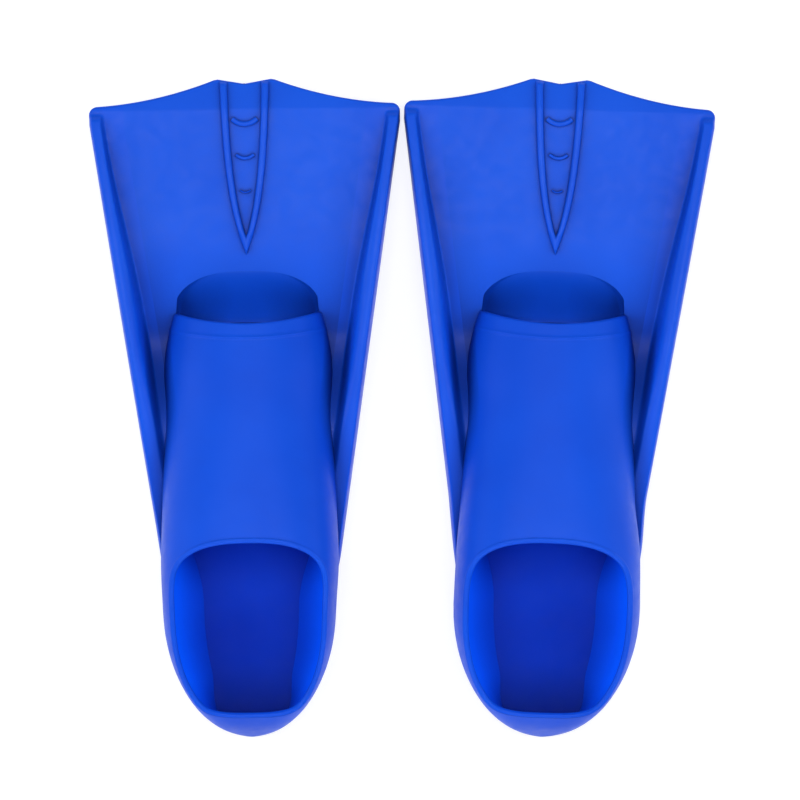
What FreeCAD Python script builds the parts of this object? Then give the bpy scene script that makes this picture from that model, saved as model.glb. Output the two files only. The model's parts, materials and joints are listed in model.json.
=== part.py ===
import FreeCAD, Part
import math
import os

import Sketcher

# A pair of short-blade, full-foot swim fins. Each fin is one rubber moulding, built here as
# the zones of that moulding. Fin frame: origin at the back of the heel on the floor, +Y to
# the blade tip, +Z up. "Run" is the distance from the heel along +Y, all in millimetres.

SIZES = {
    # blade outline and edge rails
    "fin_length": 400, "corner_half": 94.5, "corner_run": 382, "corner_radius": 6, "corner_lift": 1,
    "flare": 0.151, "peak_half": 17, "valley_run": 397, "tip_edge_radius": 320,
    "rail_width": 9.5, "rail_end": 373, "rail_start": 100,
    "rail_base": 2, "rail_tip_base": 13, "rail_tip_top": 27, "rail_heel_top": 24,
    "rail_crown": 700, "rail_low_end": 250,
    # web, flex zone and ribs
    "web_middle": 22, "web_thick": 3, "flex_start": 284, "flex_end": 296,
    "side_web_start": 144, "rib_height": 1.8, "rib_width": 4, "rib_reach": 398, "rib_half": 15,
    "rib_root_half": 6.5, "rib_shoulder": 6, "rib_bow": 0.72,
    "rib_inner_apex": 306, "crescent_first": 373, "crescent_pitch": 21,
    "crescent_half": 7.5, "crescent_tip": 0.6, "crescent_rise": 0.8,
    "crescent_bow": 1.2, "crescent_inner_bow": 1.5, "crescent_shrink": 2.2, "crescent_height": 1,
    # foot pocket
    "sole_base": 1, "sole_thick": 3.5, "wall": 3, "toe_run": 252, "band_width": 11,
    "heel_centre": 80, "pocket_half": 55, "toe_half": 56, "toe_top": 46,
    "instep_run": 120, "instep_top": 77, "ankle_top": 84, "sole_inset": 2,
    "mouth_back": 15.5, "mouth_front": 119, "mouth_half": 47, "bead_width": 2.5,
    "heel_cup_run": 30, "heel_back_in": 1, "heel_low": 24, "heel_top": 58,
    # toe scoop and tread
    "scoop_half": 45, "scoop_side_run": 255, "scoop_round": 34,
    "scoop_shoulder_half": 31, "scoop_shoulder_run": 276, "scoop_crown": 100,
    "scoop_apex": 281, "scoop_lip": 2,
    "web_tuck": 12, "web_heel_base": 5,
    "pad_round": 8, "tread_half": 38, "forefoot_start": 150, "forefoot_end": 240,
    "heel_pad_start": 32, "heel_pad_end": 84, "heel_pad_half": 21,
    "lean_level": 46, "mouth_clear": 47, "lean_start": 170, "lean_full": 80,
    # how the pair lies
    "left_yaw": 0.83, "right_yaw": -1.83, "left_heel": -90.2, "right_heel": 83.7,
    "heel_back": -200.6,
}

MARGIN = 20         # how far trimming tools reach past the fin
TOOL_HALF = 120     # half-width of the slicing tools
TOOL_HEIGHT = 150   # and their height
ARCH_POWER = 2.3    # squareness of the foot pocket's cross-section over the toes
HEEL_POWER = 4.5    # and round the heel, where its walls stand up
POWER_START = 210   # run where the section starts to square up, going back
POWER_FULL = 80     # and where it is fully square
LEAN = 0.42         # share of the width that the heel's walls lean in by at the footbed
LEAN_POWER = 2.1    # how the lean fades towards its upper end
LEAN_TAIL = 12      # the lean is fully gone this far behind the heel's back
LEAN_REACH = 50     # and full this far ahead of that place
ARCH_POINTS = 16    # steps along one cross-section's arch
ARCH_CROWDING = 1.8 # above 1, the arch's points crowd towards its foot
MOUTH_POINTS = 8    # steps along each half of the ankle opening
STATIONS = 20       # steps along the pocket between its cross-sections

doc = FreeCAD.newDocument("swim_fins")
sizes = doc.addObject("Spreadsheet::Sheet", "sizes")
for row, (alias, value) in enumerate(SIZES.items(), start=1):
    sizes.set(f"A{row}", alias)
    sizes.set(f"B{row}", str(value))
    sizes.setAlias(f"B{row}", alias)
doc.recompute()


def cell(alias):
    """The value of one cell of the sheet, for shapes made by formula."""
    return float(sizes.get(alias))


def half_at(run, inset=0):
    """Expression for the blade's half-width at a run, less an inset."""
    return f"sizes.corner_half - sizes.flare * (sizes.rail_end - ({run})) - ({inset})"


# ---------------------------------------------------------------- sketches and features

def new_sketch(body, role, height=0):
    """A sketch on one of the body's own origin planes, raised along the plane's normal."""
    sketch = body.newObject("Sketcher::SketchObject", body.Name + "_sketch")
    plane = next(f for f in body.Origin.OriginFeatures if f.Role == role)
    sketch.AttachmentSupport = [(plane, "")]
    sketch.MapMode = "FlatFace"
    if height:
        sketch.setExpression("AttachmentOffset.Base.z", height)
    return sketch


def arc_between(start, end, radius, bulge):
    """The shorter arc between two points, bulging left (+1) or right (-1) of the way along.

    It always runs anticlockwise, which is what a sketch expects of an arc.
    """
    chord = end - start
    across = FreeCAD.Vector(-chord.y, chord.x, 0).normalize()
    sag = radius - math.sqrt(radius ** 2 - (chord.Length / 2) ** 2)
    middle = start + chord / 2 + across * sag * bulge
    return Part.Arc(start, middle, end) if bulge < 0 else Part.Arc(end, middle, start)


def add_outline(sketch, corners):
    """Closes an outline through corners bound to the sheet.

    A corner is (across, along), or (across, along, radius, bulge) when an arc leaves it.
    """
    first = sketch.GeometryCount
    count = len(corners)
    places = [
        FreeCAD.Vector(float(sketch.evalExpression(c[0])), float(sketch.evalExpression(c[1])), 0)
        for c in corners
    ]
    starts = []
    ends = []
    for index, corner in enumerate(corners):
        start = places[index]
        end = places[(index + 1) % count]
        if len(corner) == 2:
            sketch.addGeometry(Part.LineSegment(start, end))
            starts.append(1)
            ends.append(2)
            continue
        radius = float(sketch.evalExpression(corner[2]))
        geometry = sketch.addGeometry(arc_between(start, end, radius, corner[3]))
        begins = sketch.Geometry[geometry].StartPoint.distanceToPoint(start) < 1e-6
        starts.append(1 if begins else 2)
        ends.append(2 if begins else 1)
    for index in range(count):
        after = (index + 1) % count
        sketch.addConstraint(Sketcher.Constraint(
            "Coincident", first + index, ends[index], first + after, starts[after]))
    for index, corner in enumerate(corners):
        place = places[index]
        for kind, value, text in (("DistanceX", place.x, corner[0]), ("DistanceY", place.y, corner[1])):
            number = sketch.addConstraint(Sketcher.Constraint(
                kind, -1, 1, first + index, starts[index], value))
            sketch.setExpression(f"Constraints[{number}]", text)
        if len(corner) == 4:
            radius = float(sketch.evalExpression(corner[2]))
            number = sketch.addConstraint(Sketcher.Constraint("Radius", first + index, radius))
            sketch.setExpression(f"Constraints[{number}]", corner[2])


def mirrored(corners):
    """The same outline on the other side of the fin's centre line."""
    turned = []
    count = len(corners)
    for index in range(count - 1, -1, -1):
        corner = corners[index]
        before = corners[(index - 1) % count]
        place = (f"-({corner[0]})", corner[1])
        turned.append(place + (before[2], before[3]) if len(before) == 4 else place)
    return turned


def pad_across(body, side_outline):
    """Pads an outline drawn in the fin's side view to both sides of the centre line."""
    sketch = new_sketch(body, "YZ_Plane")
    add_outline(sketch, side_outline)
    pad = body.newObject("PartDesign::Pad", body.Name + "_pad")
    pad.Profile = sketch
    pad.Midplane = True
    pad.setExpression("Length", f"2 * sizes.corner_half + {MARGIN}")
    doc.recompute()


def trim_to_plan(body, plan_outline):
    """Cuts away all of the body outside an outline drawn in plan."""
    sketch = new_sketch(body, "XY_Plane")
    reach = f"sizes.corner_half + {2 * MARGIN}"
    add_outline(sketch, [
        (f"-({reach})", f"-{MARGIN}"), (reach, f"-{MARGIN}"),
        (reach, f"sizes.fin_length + {MARGIN}"), (f"-({reach})", f"sizes.fin_length + {MARGIN}"),
    ])
    add_outline(sketch, plan_outline)
    pocket = body.newObject("PartDesign::Pocket", body.Name + "_trim")
    pocket.Profile = sketch
    pocket.Midplane = True
    pocket.setExpression("Length", "sizes.fin_length")
    doc.recompute()


def plan_pad(body, outlines, base, height):
    """Pads outlines drawn in plan upwards from a base level."""
    sketch = new_sketch(body, "XY_Plane", base)
    for outline in outlines:
        add_outline(sketch, outline)
    pad = body.newObject("PartDesign::Pad", body.Name + "_pad")
    pad.Profile = sketch
    pad.setExpression("Length", height)
    doc.recompute()


def new_body(name):
    """An empty PartDesign body."""
    body = doc.addObject("PartDesign::Body", name)
    body.Label = name
    return body


# ---------------------------------------------------------------- zones of one moulding

RAIL_BOTTOM = "sizes.rail_base"
RAIL_SIDE = [
    ("sizes.rail_start", RAIL_BOTTOM),
    ("sizes.rail_low_end", RAIL_BOTTOM),
    ("sizes.rail_end", "sizes.rail_tip_base"),
    ("sizes.rail_end", "sizes.rail_tip_top", "sizes.rail_crown", -1),
    ("sizes.rail_start", "sizes.rail_heel_top"),
]

WEB_TOP = "sizes.web_middle + sizes.web_thick / 2"
WEB_BASE = "sizes.web_middle - sizes.web_thick / 2"
SOLE_TOP = "sizes.sole_base + sizes.sole_thick"


def rail(name, sign, start, end):
    """One stretch of an edge rail, on the side that sign gives."""
    body = new_body(name)
    pad_across(body, RAIL_SIDE)
    strip = [
        (half_at(start, "sizes.rail_width"), start), (half_at(start), start),
        (half_at(end), end), (half_at(end, "sizes.rail_width"), end),
    ]
    trim_to_plan(body, strip if sign > 0 else mirrored(strip))
    return body


def web(name, plan):
    """A stretch of the thin flat web, drawn in plan."""
    body = new_body(name)
    plan_pad(body, [plan], WEB_BASE, "sizes.web_thick")
    return body


def flex_web(name):
    """The strip of web that bends just ahead of the toes."""
    start, end = "sizes.flex_start", "sizes.flex_end"
    near, far = half_at(start, "sizes.rail_width"), half_at(end, "sizes.rail_width")
    plan = [(f"-({near})", start), (near, start), (far, end), (f"-({far})", end)]
    return web(name, plan)


def blade_web(name):
    """The blade's web, with round corners, hollow outer edges and a notch at the tip."""
    start, stop = "sizes.flex_end", "sizes.rail_end"
    round_in = "sizes.corner_run - sizes.corner_radius"
    right = [
        (half_at(start, "sizes.rail_width"), start),
        (half_at(stop, "sizes.rail_width"), stop),
        (half_at(stop), stop),
        ("sizes.corner_half", round_in, "sizes.corner_radius", -1),
        ("sizes.corner_half - sizes.corner_radius", "sizes.corner_run + sizes.corner_lift", "sizes.tip_edge_radius", 1),
        ("sizes.peak_half", "sizes.fin_length"),
    ]
    notch = ("0", "sizes.valley_run")
    left = mirrored(right)
    return web(name, right + [notch] + left)


def scoop_edge(grow):
    """Half of the scoop's outline, from its side at the rim to its apex, grown by a margin."""
    crown, side = f"sizes.scoop_crown + {grow}", f"sizes.scoop_round + {grow}"
    return [
        (f"sizes.scoop_half + {grow}", "sizes.toe_run"),
        (f"sizes.scoop_half + {grow}", "sizes.scoop_side_run", side, -1),
        (f"sizes.scoop_shoulder_half + {grow} * 0.75", f"sizes.scoop_shoulder_run + {grow} * 0.7",
         crown, -1),
        ("0", f"sizes.scoop_apex + {grow}"),
    ]


def backwards(corners):
    """The same corners walked the other way; arcs keep their place and bulge to the other hand."""
    turned = []
    for index in range(len(corners) - 1, -1, -1):
        before = corners[index - 1] if index else ()
        place = corners[index][:2]
        turned.append(place + (before[2], -before[3]) if len(before) == 4 else place)
    return turned


def side_web(name, sign, form):
    """The web beside the foot pocket, sinking towards the heel, and half of the throat."""
    blank = new_body(name + "_blank")
    start, bend, end = "sizes.side_web_start", "sizes.toe_run", "sizes.flex_start"
    pad_across(blank, [
        (start, "sizes.web_heel_base"), (bend, WEB_BASE), (end, WEB_BASE),
        (end, WEB_TOP), (bend, WEB_TOP), (start, "sizes.web_heel_base + sizes.web_thick"),
    ])
    tuck = "sizes.toe_half - sizes.web_tuck"
    plan = [
        (half_at(start, "sizes.rail_width"), start),
        (half_at(end, "sizes.rail_width"), end),
        ("0", end),
    ]
    plan += backwards(scoop_edge("sizes.scoop_lip")) + [(tuck, bend), (tuck, start)]
    trim_to_plan(blank, plan if sign > 0 else mirrored(plan))
    return cut_by(name, blank, form)


def cut_by(name, base, tool):
    """The base with the tool's volume taken away."""
    cut = doc.addObject("Part::Cut", name)
    cut.Label = name
    cut.Base = base
    cut.Tool = tool
    doc.recompute()
    return cut


def v_rib(name, base):
    """The V-shaped rib, its point at the flex zone and its arms at the tip."""
    body = new_body(name)
    root = "sizes.flex_end"
    middle = "(sizes.rib_inner_apex + sizes.rib_reach) / 2"
    bow = "sizes.rib_half * sizes.rib_bow"
    plan_pad(body, [[
        ("-1", root), ("1", root), ("sizes.rib_root_half", "sizes.rib_inner_apex + sizes.rib_shoulder"),
        (bow, middle), ("sizes.rib_half", "sizes.rib_reach"),
        ("sizes.rib_half - sizes.rib_width", "sizes.rib_reach"),
        (f"{bow} - sizes.rib_width", middle), ("0", "sizes.rib_inner_apex"),
        (f"-({bow} - sizes.rib_width)", middle),
        ("-(sizes.rib_half - sizes.rib_width)", "sizes.rib_reach"),
        ("-sizes.rib_half", "sizes.rib_reach"), (f"-({bow})", middle),
        ("-sizes.rib_root_half", "sizes.rib_inner_apex + sizes.rib_shoulder"),
    ]], base, "sizes.rib_height")
    return body


def tip_crescents(name):
    """Three raised crescents between the arms of the V, smaller towards its point."""
    body = new_body(name)
    outlines = []
    for index in range(3):
        half = f"(sizes.crescent_half - {index} * sizes.crescent_shrink)"
        run = f"(sizes.crescent_first - {index} * sizes.crescent_pitch)"
        outlines.append([
            (f"-{half}", run, f"sizes.crescent_bow * {half}", -1),
            (half, run),
            (f"{half} - sizes.crescent_tip", f"{run} + sizes.crescent_rise",
             f"sizes.crescent_inner_bow * {half}", 1),
            (f"sizes.crescent_tip - {half}", f"{run} + sizes.crescent_rise"),
        ])
    plan_pad(body, outlines, WEB_TOP, "sizes.crescent_height")
    return body


def toe_scoop(name):
    """The ramp that rises from the sole's front edge to the web ahead of the toes."""
    body = new_body(name)
    foot, apex = "sizes.toe_run", "sizes.scoop_apex"
    pad_across(body, [(foot, "sizes.sole_base"), (apex, WEB_BASE), (apex, WEB_TOP), (foot, SOLE_TOP)])
    right = scoop_edge("0")
    trim_to_plan(body, right + mirrored(right)[1:])
    return body


def scoop_wall(name):
    """The curved lip that holds the ramp up to the web's level, sloping underneath."""
    body = new_body(name)
    foot, apex, lip = "sizes.toe_run", "sizes.scoop_apex", "sizes.scoop_lip"
    outside = scoop_edge(lip)
    inside = scoop_edge("0")
    there = outside + mirrored(outside)[1:]
    back = backwards(inside + mirrored(inside)[1:])
    plan_pad(body, [there + back], "sizes.sole_base", f"{WEB_TOP} - sizes.sole_base")
    under = new_sketch(body, "YZ_Plane")
    add_outline(under, [
        (f"{foot} - 1", "sizes.sole_base"), (f"{foot} - 1", "-1"),
        (f"{apex} + {lip} + sizes.corner_lift", "-1"), (f"{apex} + {lip} + sizes.corner_lift", WEB_BASE),
        (f"{apex} + {lip}", WEB_BASE), (foot, "sizes.sole_base"),
    ])
    pocket = body.newObject("PartDesign::Pocket", name + "_slope")
    pocket.Profile = under
    pocket.Midplane = True
    pocket.setExpression("Length", "2 * sizes.corner_half")
    doc.recompute()
    return body


def tread(name, start, end, half):
    """A flat grip pad under the sole, with round corners."""
    body = new_body(name)
    turn = "sizes.pad_round"
    plan_pad(body, [[
        (f"{turn} - {half}", start), (f"{half} - {turn}", start, turn, -1),
        (half, f"{start} + {turn}"), (half, f"{end} - {turn}", turn, -1),
        (f"{half} - {turn}", end), (f"{turn} - {half}", end, turn, -1),
        (f"-({half})", f"{end} - {turn}"), (f"-({half})", f"{start} + {turn}", turn, -1),
    ]], "0", "sizes.sole_base")
    return body


# ---------------------------------------------------------------- foot pocket, by formula

def pocket_half(run, inset=0):
    """Half-width of the pocket at a run: an elliptic heel, then straight sides to the toe."""
    centre, half = cell("heel_centre"), cell("pocket_half") - inset
    if run < centre:
        back = centre - inset
        return half * math.sqrt(max(0, 1 - ((centre - run) / back) ** 2))
    share = (run - centre) / (cell("toe_run") - centre)
    return half + share * (cell("toe_half") - cell("pocket_half"))


def ease(share):
    """A smooth step from 0 to 1."""
    share = min(1, max(0, share))
    return share * share * (3 - 2 * share)


def pull_in(run, rise):
    """Share of the width left at a height over the sole: the heel's walls lean in to a narrow footbed."""
    low = max(0, 1 - rise / (cell("lean_level") - cell("sole_base") - cell("sole_thick")))
    along = ease((cell("lean_start") - run) / (cell("lean_start") - cell("lean_full")))
    along = along * ease((run + LEAN_TAIL) / LEAN_REACH)
    return 1 - LEAN * along * low ** LEAN_POWER


def pocket_section(run, half, top):
    """A closed arch standing on the sole: a superellipse over a straight base."""
    base = cell("sole_base") + cell("sole_thick")
    power = ARCH_POWER + (HEEL_POWER - ARCH_POWER) * ease((POWER_START - run) / (POWER_START - POWER_FULL))
    places = []
    for index in range(ARCH_POINTS + 1):
        share = 1 - abs(2 * index / ARCH_POINTS - 1)
        turn = math.pi / 2 * share ** ARCH_CROWDING
        side = 1 if 2 * index < ARCH_POINTS else -1
        rise = (top - base) * math.sin(turn) ** (2 / power)
        across = half * side * abs(math.cos(turn)) ** (2 / power) if share < 1 else 0
        places.append(FreeCAD.Vector(across * pull_in(run, rise), run, base + rise))
    arch = Part.BSplineCurve()
    arch.interpolate(places)
    return Part.Wire([arch.toShape(), Part.makeLine(places[-1], places[0])])


def ridge_curve():
    """The pocket's top line in side view, from the heel over the ankle to the toes."""
    middle = (cell("instep_run") + cell("toe_run")) / 2
    marks = [
        (cell("heel_back_in"), cell("heel_low")), (cell("mouth_back"), cell("heel_top")),
        (cell("heel_centre"), cell("ankle_top")), (cell("instep_run"), cell("instep_top")),
        (middle, (cell("instep_top") + cell("toe_top")) / 2), (cell("toe_run"), cell("toe_top")),
    ]
    curve = Part.BSplineCurve()
    curve.interpolate([FreeCAD.Vector(0, run, top) for run, top in marks])
    return curve


def pocket_solid(inset, toe_reach):
    """The pocket's outer form, or its inside when inset is the wall's thickness."""
    curve = ridge_curve()
    sections = []
    for index in range(STATIONS + 1):
        share = index / STATIONS
        mark = curve.value(curve.FirstParameter + share * (curve.LastParameter - curve.FirstParameter))
        run = mark.y + inset * max(0, 1 - mark.y / cell("instep_run"))
        sections.append(pocket_section(run, pocket_half(run, inset), mark.z - inset))
    if toe_reach:
        slope = (cell("instep_top") - cell("toe_top")) / (cell("toe_run") - cell("instep_run"))
        run = cell("toe_run") + toe_reach
        sections.append(pocket_section(
            run, pocket_half(run, inset), cell("toe_top") - inset - slope * toe_reach))
    return Part.makeLoft(sections, True, True)


def mouth_prism(grow):
    """An upright prism over the egg-shaped ankle opening, grown by a margin."""
    centre = cell("heel_centre")
    half = cell("mouth_half") + grow
    wires = []
    for reach, turn in ((cell("mouth_front") + grow - centre, 0), (centre - cell("mouth_back") + grow, 1)):
        start, end = math.pi * turn, math.pi * (turn + 1)
        places = []
        for index in range(MOUTH_POINTS + 1):
            angle = start + (end - start) * index / MOUTH_POINTS
            places.append(FreeCAD.Vector(
                half * math.cos(angle), centre + reach * math.sin(angle), cell("mouth_clear")))
        curve = Part.BSplineCurve()
        curve.interpolate(places)
        wires.append(curve.toShape())
    face = Part.Face(Part.Wire(wires))
    return face.extrude(FreeCAD.Vector(0, 0, cell("ankle_top")))


def slab(low_run, high_run, low_side=-TOOL_HALF, high_side=TOOL_HALF):
    """A tall box between two runs, used to slice the pocket into zones."""
    return Part.makeBox(
        high_side - low_side, high_run - low_run, TOOL_HEIGHT, FreeCAD.Vector(low_side, low_run, -MARGIN))


def sole_plate():
    """The sole: a flat plate under the pocket, narrow at the heel and square at the toe."""
    inset, base = cell("sole_inset"), cell("sole_base")
    centre, toe = cell("heel_centre"), cell("toe_run")
    places = []
    for index in range(1, STATIONS + 1):
        turn = math.pi / 2 * index / STATIONS
        places.append(inset + (centre - inset) * (1 - math.cos(turn)))
    for index in range(1, STATIONS + 1):
        places.append(centre + (toe - centre) * index / STATIONS)
    edge = [(pocket_half(run, inset) * pull_in(run, 0), run) for run in places]
    outline = [FreeCAD.Vector(-half, run, base) for half, run in reversed(edge)]
    outline += [FreeCAD.Vector(0, inset, base)]
    outline += [FreeCAD.Vector(half, run, base) for half, run in edge]
    curve = Part.BSplineCurve()
    curve.interpolate(outline)
    face = Part.Face(Part.Wire([curve.toShape(), Part.makeLine(outline[-1], outline[0])]))
    return face.extrude(FreeCAD.Vector(0, 0, cell("sole_thick")))


def feature(name, shape):
    """A document object that holds a shape made by formula."""
    item = doc.addObject("Part::Feature", name)
    item.Label = name
    item.Shape = shape
    return item


def pocket_zones(prefix, shell, names):
    """The foot pocket's zones, sliced from its shell."""
    bead = mouth_prism(cell("bead_width"))
    band_run = cell("toe_run") - cell("band_width")
    rear = shell.cut(bead)
    front_run = cell("mouth_front") + cell("bead_width")
    cup_run = cell("heel_cup_run")
    zones = {
        "collar": shell.common(bead),
        "toe_band": shell.common(slab(band_run, cell("toe_run"))),
        "vamp": rear.common(slab(front_run, band_run)),
        names[-1] + "_quarter": rear.common(slab(cup_run, front_run, high_side=0)),
        names[1] + "_quarter": rear.common(slab(cup_run, front_run, low_side=0)),
        "heel_cup": rear.common(slab(-MARGIN, cup_run)),
    }
    return {zone: feature(prefix + zone, shape) for zone, shape in zones.items()}


# ---------------------------------------------------------------- the two fins

def build_fin(side, inward):
    """All zones of one fin; inward is +1 when the other fin lies towards +X."""
    prefix = side + "_"
    names = {-inward: "outer", inward: "inner"}
    outer = pocket_solid(0, 0)
    shell = outer.cut(pocket_solid(cell("wall"), cell("wall"))).cut(mouth_prism(0))
    sole = sole_plate()
    form = feature(prefix + "pocket_form", outer.fuse(sole))
    zones = pocket_zones(prefix, shell, names)
    zones["sole"] = feature(prefix + "sole", sole)
    zones["forefoot_tread"] = tread(
        prefix + "forefoot_tread", "sizes.forefoot_start", "sizes.forefoot_end", "sizes.tread_half")
    zones["heel_tread"] = tread(
        prefix + "heel_tread", "sizes.heel_pad_start", "sizes.heel_pad_end", "sizes.heel_pad_half")
    zones["toe_scoop"] = toe_scoop(prefix + "toe_scoop")
    zones["scoop_wall"] = scoop_wall(prefix + "scoop_wall")
    zones["flex_web"] = flex_web(prefix + "flex_web")
    zones["blade_web"] = blade_web(prefix + "blade_web")
    zones["v_rib"] = v_rib(prefix + "v_rib", WEB_TOP)
    zones["v_rib_underside"] = v_rib(prefix + "v_rib_underside", f"{WEB_BASE} - sizes.rib_height")
    zones["tip_crescents"] = tip_crescents(prefix + "tip_crescents")
    for sign, edge in names.items():
        zones[edge + "_side_web"] = side_web(f"{prefix}{edge}_side_web", sign, form)
        blank = rail(f"{prefix}{edge}_rail_blank", sign, "sizes.rail_start", "sizes.flex_start")
        zones[edge + "_foot_rail"] = cut_by(f"{prefix}{edge}_foot_rail", blank, form)
        zones[edge + "_flex_rail"] = rail(
            f"{prefix}{edge}_flex_rail", sign, "sizes.flex_start", "sizes.flex_end")
        zones[edge + "_blade_rail"] = rail(
            f"{prefix}{edge}_blade_rail", sign, "sizes.flex_end", "sizes.rail_end")
    place = FreeCAD.Placement(
        FreeCAD.Vector(cell(side + "_heel"), cell("heel_back"), 0),
        FreeCAD.Rotation(FreeCAD.Vector(0, 0, 1), cell(side + "_yaw")))
    for zone in zones.values():
        zone.Placement = place
    return list(zones.values())


pieces = build_fin("left", 1) + build_fin("right", -1)
doc.recompute()

for item in doc.Objects:
    if "Invalid" in item.State or "Error" in item.State:
        raise RuntimeError(f"{item.Name} did not compute: {item.State}")

os.makedirs("parts", exist_ok=True)
whole = FreeCAD.BoundBox()
for piece in pieces:
    shape = piece.Shape
    if shape.isNull() or not shape.isValid() or not shape.Solids:
        raise RuntimeError(f"{piece.Label} has no valid solid")
    whole.add(shape.BoundBox)
    shape.exportStep(f"parts/{piece.Label}.step")
    print(f"{piece.Label}: {len(shape.Solids)} solid(s), {shape.Volume:.0f} mm3")
print(f"{len(pieces)} nodes, {whole}")
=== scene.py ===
"""A pair of blue silicone swim fins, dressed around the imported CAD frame.

Each fin is laid out in its own frame in millimetres: X across, Y ("run") from the back of the
heel to the blade tip, Z up from the floor. FinPlace carries it into the row frame in metres.
"""
import json
import logging
import math
from dataclasses import dataclass, field
from enum import Enum

import bpy
import numpy as np
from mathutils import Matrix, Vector


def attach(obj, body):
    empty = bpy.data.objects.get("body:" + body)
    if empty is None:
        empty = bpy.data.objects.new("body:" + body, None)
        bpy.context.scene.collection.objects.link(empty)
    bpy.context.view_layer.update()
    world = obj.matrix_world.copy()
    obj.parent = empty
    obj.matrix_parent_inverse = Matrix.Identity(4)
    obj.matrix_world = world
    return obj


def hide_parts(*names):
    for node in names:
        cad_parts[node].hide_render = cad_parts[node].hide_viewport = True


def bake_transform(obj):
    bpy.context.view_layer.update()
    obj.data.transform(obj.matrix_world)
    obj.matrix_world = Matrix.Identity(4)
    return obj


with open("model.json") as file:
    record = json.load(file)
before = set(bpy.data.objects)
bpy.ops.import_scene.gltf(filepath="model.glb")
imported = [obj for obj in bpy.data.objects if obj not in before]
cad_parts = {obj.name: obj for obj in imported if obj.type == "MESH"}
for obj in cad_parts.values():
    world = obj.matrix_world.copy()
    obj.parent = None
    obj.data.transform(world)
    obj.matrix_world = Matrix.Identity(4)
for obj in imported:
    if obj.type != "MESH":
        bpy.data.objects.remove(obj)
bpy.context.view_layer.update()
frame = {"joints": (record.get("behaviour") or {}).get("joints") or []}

log = logging.getLogger("swim_fins")
MM = 0.001


class Side(Enum):
    """Which fin of the pair, and the way its inner edge faces."""

    LEFT = "left"
    RIGHT = "right"

    @property
    def inward(self) -> int:
        """+1 when the other fin lies towards +X, else -1."""
        return 1 if self is Side.LEFT else -1

    def edge(self, sign: int) -> str:
        """Whether the edge on one side of the centre line is the outer or the inner one."""
        return "inner" if sign == self.inward else "outer"


def smooth(value: np.ndarray) -> np.ndarray:
    """Smoothstep of a share that is clipped to 0..1."""
    share = np.clip(value, 0.0, 1.0)
    return share * share * (3 - 2 * share)


def hermite(marks: list[tuple[float, float]], at: np.ndarray) -> np.ndarray:
    """A smooth curve through a few marks.

    Args:
        marks: (position, value) pairs in rising order.
        at: positions to read.

    Returns:
        The curve's value at each position.
    """
    xs = np.array([m[0] for m in marks], float)
    ys = np.array([m[1] for m in marks], float)
    slopes = np.gradient(ys, xs)
    at = np.asarray(at, float)
    cell = np.clip(np.searchsorted(xs, at) - 1, 0, len(xs) - 2)
    width = xs[cell + 1] - xs[cell]
    share = (at - xs[cell]) / width
    square, cube = share ** 2, share ** 3
    return (
        (2 * cube - 3 * square + 1) * ys[cell]
        + (cube - 2 * square + share) * width * slopes[cell]
        + (3 * square - 2 * cube) * ys[cell + 1]
        + (cube - square) * width * slopes[cell + 1]
    )


def fill(node: bpy.types.Node, **values: object) -> bpy.types.Node:
    """Sets a node's inputs by socket name, with _ for a space, and gives the node back."""
    for key, value in values.items():
        node.inputs[key.replace("_", " ")].default_value = value
    return node


# ---- placing

@dataclass(frozen=True)
class FinPlace:
    """Where one fin lies: its turn about +Z, the place of its heel, and how its soft heel has settled."""

    yaw: float
    heel: tuple[float, float]
    spread: float = 0.0
    sway: float = 0.0
    settles_from: float = 110.0
    settles_over: float = 40.0

    @classmethod
    def from_joint(cls, joint: dict, hinge_run: float, settling: tuple[float, float, float]) -> "FinPlace":
        """Reads the place from the fin's blade hinge.

        Args:
            joint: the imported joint, whose axis lies across the fin.
            hinge_run: run of the hinge in the fin's frame.
            settling: how far the soft heel spreads and sways, and the run where that starts.

        Returns:
            The fin's place.
        """
        axis = joint["axis"]
        yaw = math.atan2(axis[1], axis[0])
        x, y = joint["pos_m"][0] / MM, joint["pos_m"][1] / MM
        spread, sway, start = settling
        return cls(yaw, (x + hinge_run * math.sin(yaw), y - hinge_run * math.cos(yaw)), spread, sway, start)

    def turned(self, vectors: np.ndarray) -> np.ndarray:
        """Directions of the fin frame in the row frame."""
        c, s = math.cos(self.yaw), math.sin(self.yaw)
        return vectors @ np.array([[c, s, 0], [-s, c, 0], [0, 0, 1]])

    def to_row(self, points: np.ndarray) -> np.ndarray:
        """Points of the fin frame in the row frame, in metres."""
        settled = np.array(points, float)
        amount = smooth((self.settles_from - settled[..., 1]) / self.settles_over)
        settled[..., 0] = settled[..., 0] * (1 + self.spread * amount) + self.sway * amount
        return (self.turned(settled) + np.array([self.heel[0], self.heel[1], 0])) * MM


# ---- form

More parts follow.
